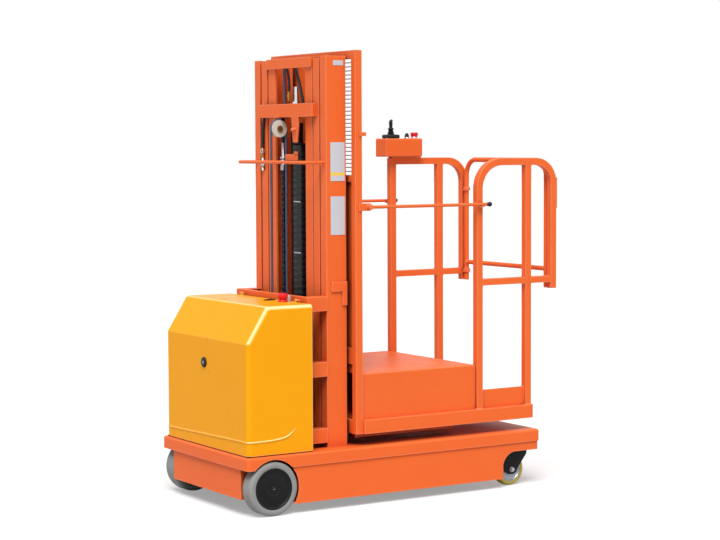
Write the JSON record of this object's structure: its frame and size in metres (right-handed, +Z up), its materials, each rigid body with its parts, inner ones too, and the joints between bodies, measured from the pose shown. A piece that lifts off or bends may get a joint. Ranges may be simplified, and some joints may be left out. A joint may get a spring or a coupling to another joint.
{
  "type": "order picker truck",
  "caption": "Self-propelled order picker with a telescopic mast, a railed operator platform, a load table and a tilting drive cover, on drive wheels and swivel casters.",
  "frame": {"origin": "on the floor, under the middle of the truck's bounding box, platform lowered", "axes": "+Z up; -X towards the drive cover's end, +X towards the operator's gate; +Y towards the side with the control box"},
  "size_m": [1.78, 0.854, 2.121],
  "materials": {
    "orange_paint": "satin",
    "yellow_cover": "semi-gloss",
    "black_metal": "satin",
    "bright_steel": "satin",
    "chrome_rod": "polished",
    "grey_tyre": "matte",
    "tread_yellow": "satin",
    "black_plastic": "matte",
    "hose_rubber": "satin",
    "white_plastic": "gloss",
    "red_plastic": "gloss",
    "blank_plate": "satin",
    "grey_wire": "satin"
  },
  "bodies": {
    "chassis": {"deck": "orange_paint", "underframe": "orange_paint", "drive_unit_near": "black_metal", "drive_unit_far": "black_metal", "mast_outer": "orange_paint", "cover_frame": "orange_paint", "guard_bar": "orange_paint", "lift_barrel": "black_metal", "battery": "black_plastic", "pump_unit": "black_metal", "column_plates": "blank_plate", "column_stop": "orange_paint"},
    "drive_wheel_near": {"drive_tyre_near": "grey_tyre", "drive_hub_near": "black_metal"},
    "drive_wheel_far": {"drive_tyre_far": "grey_tyre", "drive_hub_far": "black_metal"},
    "caster_swivel_near": {"caster_fork_near": "black_metal"},
    "caster_swivel_far": {"caster_fork_far": "black_metal"},
    "caster_wheel_near": {"caster_tyre_near": "tread_yellow", "caster_rim_near": "bright_steel"},
    "caster_wheel_far": {"caster_tyre_far": "tread_yellow", "caster_rim_far": "bright_steel"},
    "middle_stage": {"mast_middle": "orange_paint", "middle_tie": "orange_paint", "hose_pulley": "white_plastic", "lift_rod": "chrome_rod", "lift_chain": "black_metal", "chain_anchor": "bright_steel", "cable_carrier": "black_plastic", "hoses": "hose_rubber"},
    "inner_stage": {"mast_inner": "orange_paint"},
    "platform": {"carriage": "orange_paint", "guard_mesh": "grey_wire", "guard_panel": "orange_paint", "platform_floor": "orange_paint", "fork_arms": "orange_paint", "load_table": "orange_paint", "rail_near": "orange_paint", "rail_far": "orange_paint", "gate_brackets": "orange_paint", "latch_strip": "orange_paint", "bar_bracket_near": "orange_paint", "bar_bracket_far": "orange_paint", "control_box": "orange_paint", "box_clamp": "orange_paint", "control_stick": "black_plastic", "control_stop": "red_plastic", "control_switch": "black_plastic"},
    "bar_near": {"side_bar_near": "orange_paint", "bar_knob_near": "black_plastic"},
    "bar_far": {"side_bar_far": "orange_paint", "bar_knob_far": "black_plastic"},
    "gate": {"rear_gate": "orange_paint"},
    "cover": {"drive_cover": "yellow_cover", "cover_lock": "bright_steel", "cover_stop": "red_plastic", "cover_switch": "black_plastic"}
  },
  "joints": [
    {"name": "drive_wheel_near_roll", "type": "hinge", "parent": "chassis", "child": "drive_wheel_near", "pos_m": [-0.752, -0.387, 0.125], "axis": [0, 1, 0], "continuous": true},
    {"name": "drive_wheel_far_roll", "type": "hinge", "parent": "chassis", "child": "drive_wheel_far", "pos_m": [-0.752, 0.387, 0.125], "axis": [0, 1, 0], "continuous": true},
    {"name": "caster_near_swivel", "type": "hinge", "parent": "chassis", "child": "caster_swivel_near", "pos_m": [0.67, -0.35, 0.19], "axis": [0, 0, 1], "continuous": true},
    {"name": "caster_far_swivel", "type": "hinge", "parent": "chassis", "child": "caster_swivel_far", "pos_m": [0.67, 0.35, 0.19], "axis": [0, 0, 1], "continuous": true},
    {"name": "caster_near_roll", "type": "hinge", "parent": "caster_swivel_near", "child": "caster_wheel_near", "pos_m": [0.62, -0.35, 0.08], "axis": [0, 1, 0], "continuous": true},
    {"name": "caster_far_roll", "type": "hinge", "parent": "caster_swivel_far", "child": "caster_wheel_far", "pos_m": [0.62, 0.35, 0.08], "axis": [0, 1, 0], "continuous": true},
    {"name": "mast_lift", "type": "slide", "parent": "chassis", "child": "middle_stage", "axis": [0, 0, 1], "range_m": [0, 1.3]},
    {"name": "inner_lift", "type": "slide", "parent": "middle_stage", "child": "inner_stage", "axis": [0, 0, 1], "range_m": [0, 1.3]},
    {"name": "platform_lift", "type": "slide", "parent": "inner_stage", "child": "platform", "axis": [0, 0, 1], "range_m": [0, 1.3]},
    {"name": "bar_near_raise", "type": "hinge", "parent": "platform", "child": "bar_near", "pos_m": [-0.22, -0.415, 1.394], "axis": [0, -1, 0], "range_deg": [0, 90]},
    {"name": "bar_far_raise", "type": "hinge", "parent": "platform", "child": "bar_far", "pos_m": [-0.22, 0.415, 1.394], "axis": [0, -1, 0], "range_deg": [0, 90]},
    {"name": "gate_swing", "type": "hinge", "parent": "platform", "child": "gate", "pos_m": [0.865, 0.341, 1.3], "axis": [0, 0, -1], "range_deg": [0, 90]},
    {"name": "cover_tilt", "type": "hinge", "parent": "chassis", "child": "cover", "pos_m": [-0.53, 0, 0.963], "axis": [0, 1, 0], "range_deg": [0, 75]}
  ],
  "couplings": [
    {"joint": "inner_lift", "follows": "mast_lift", "ratio": 1},
    {"joint": "platform_lift", "follows": "mast_lift", "ratio": 1}
  ]
}
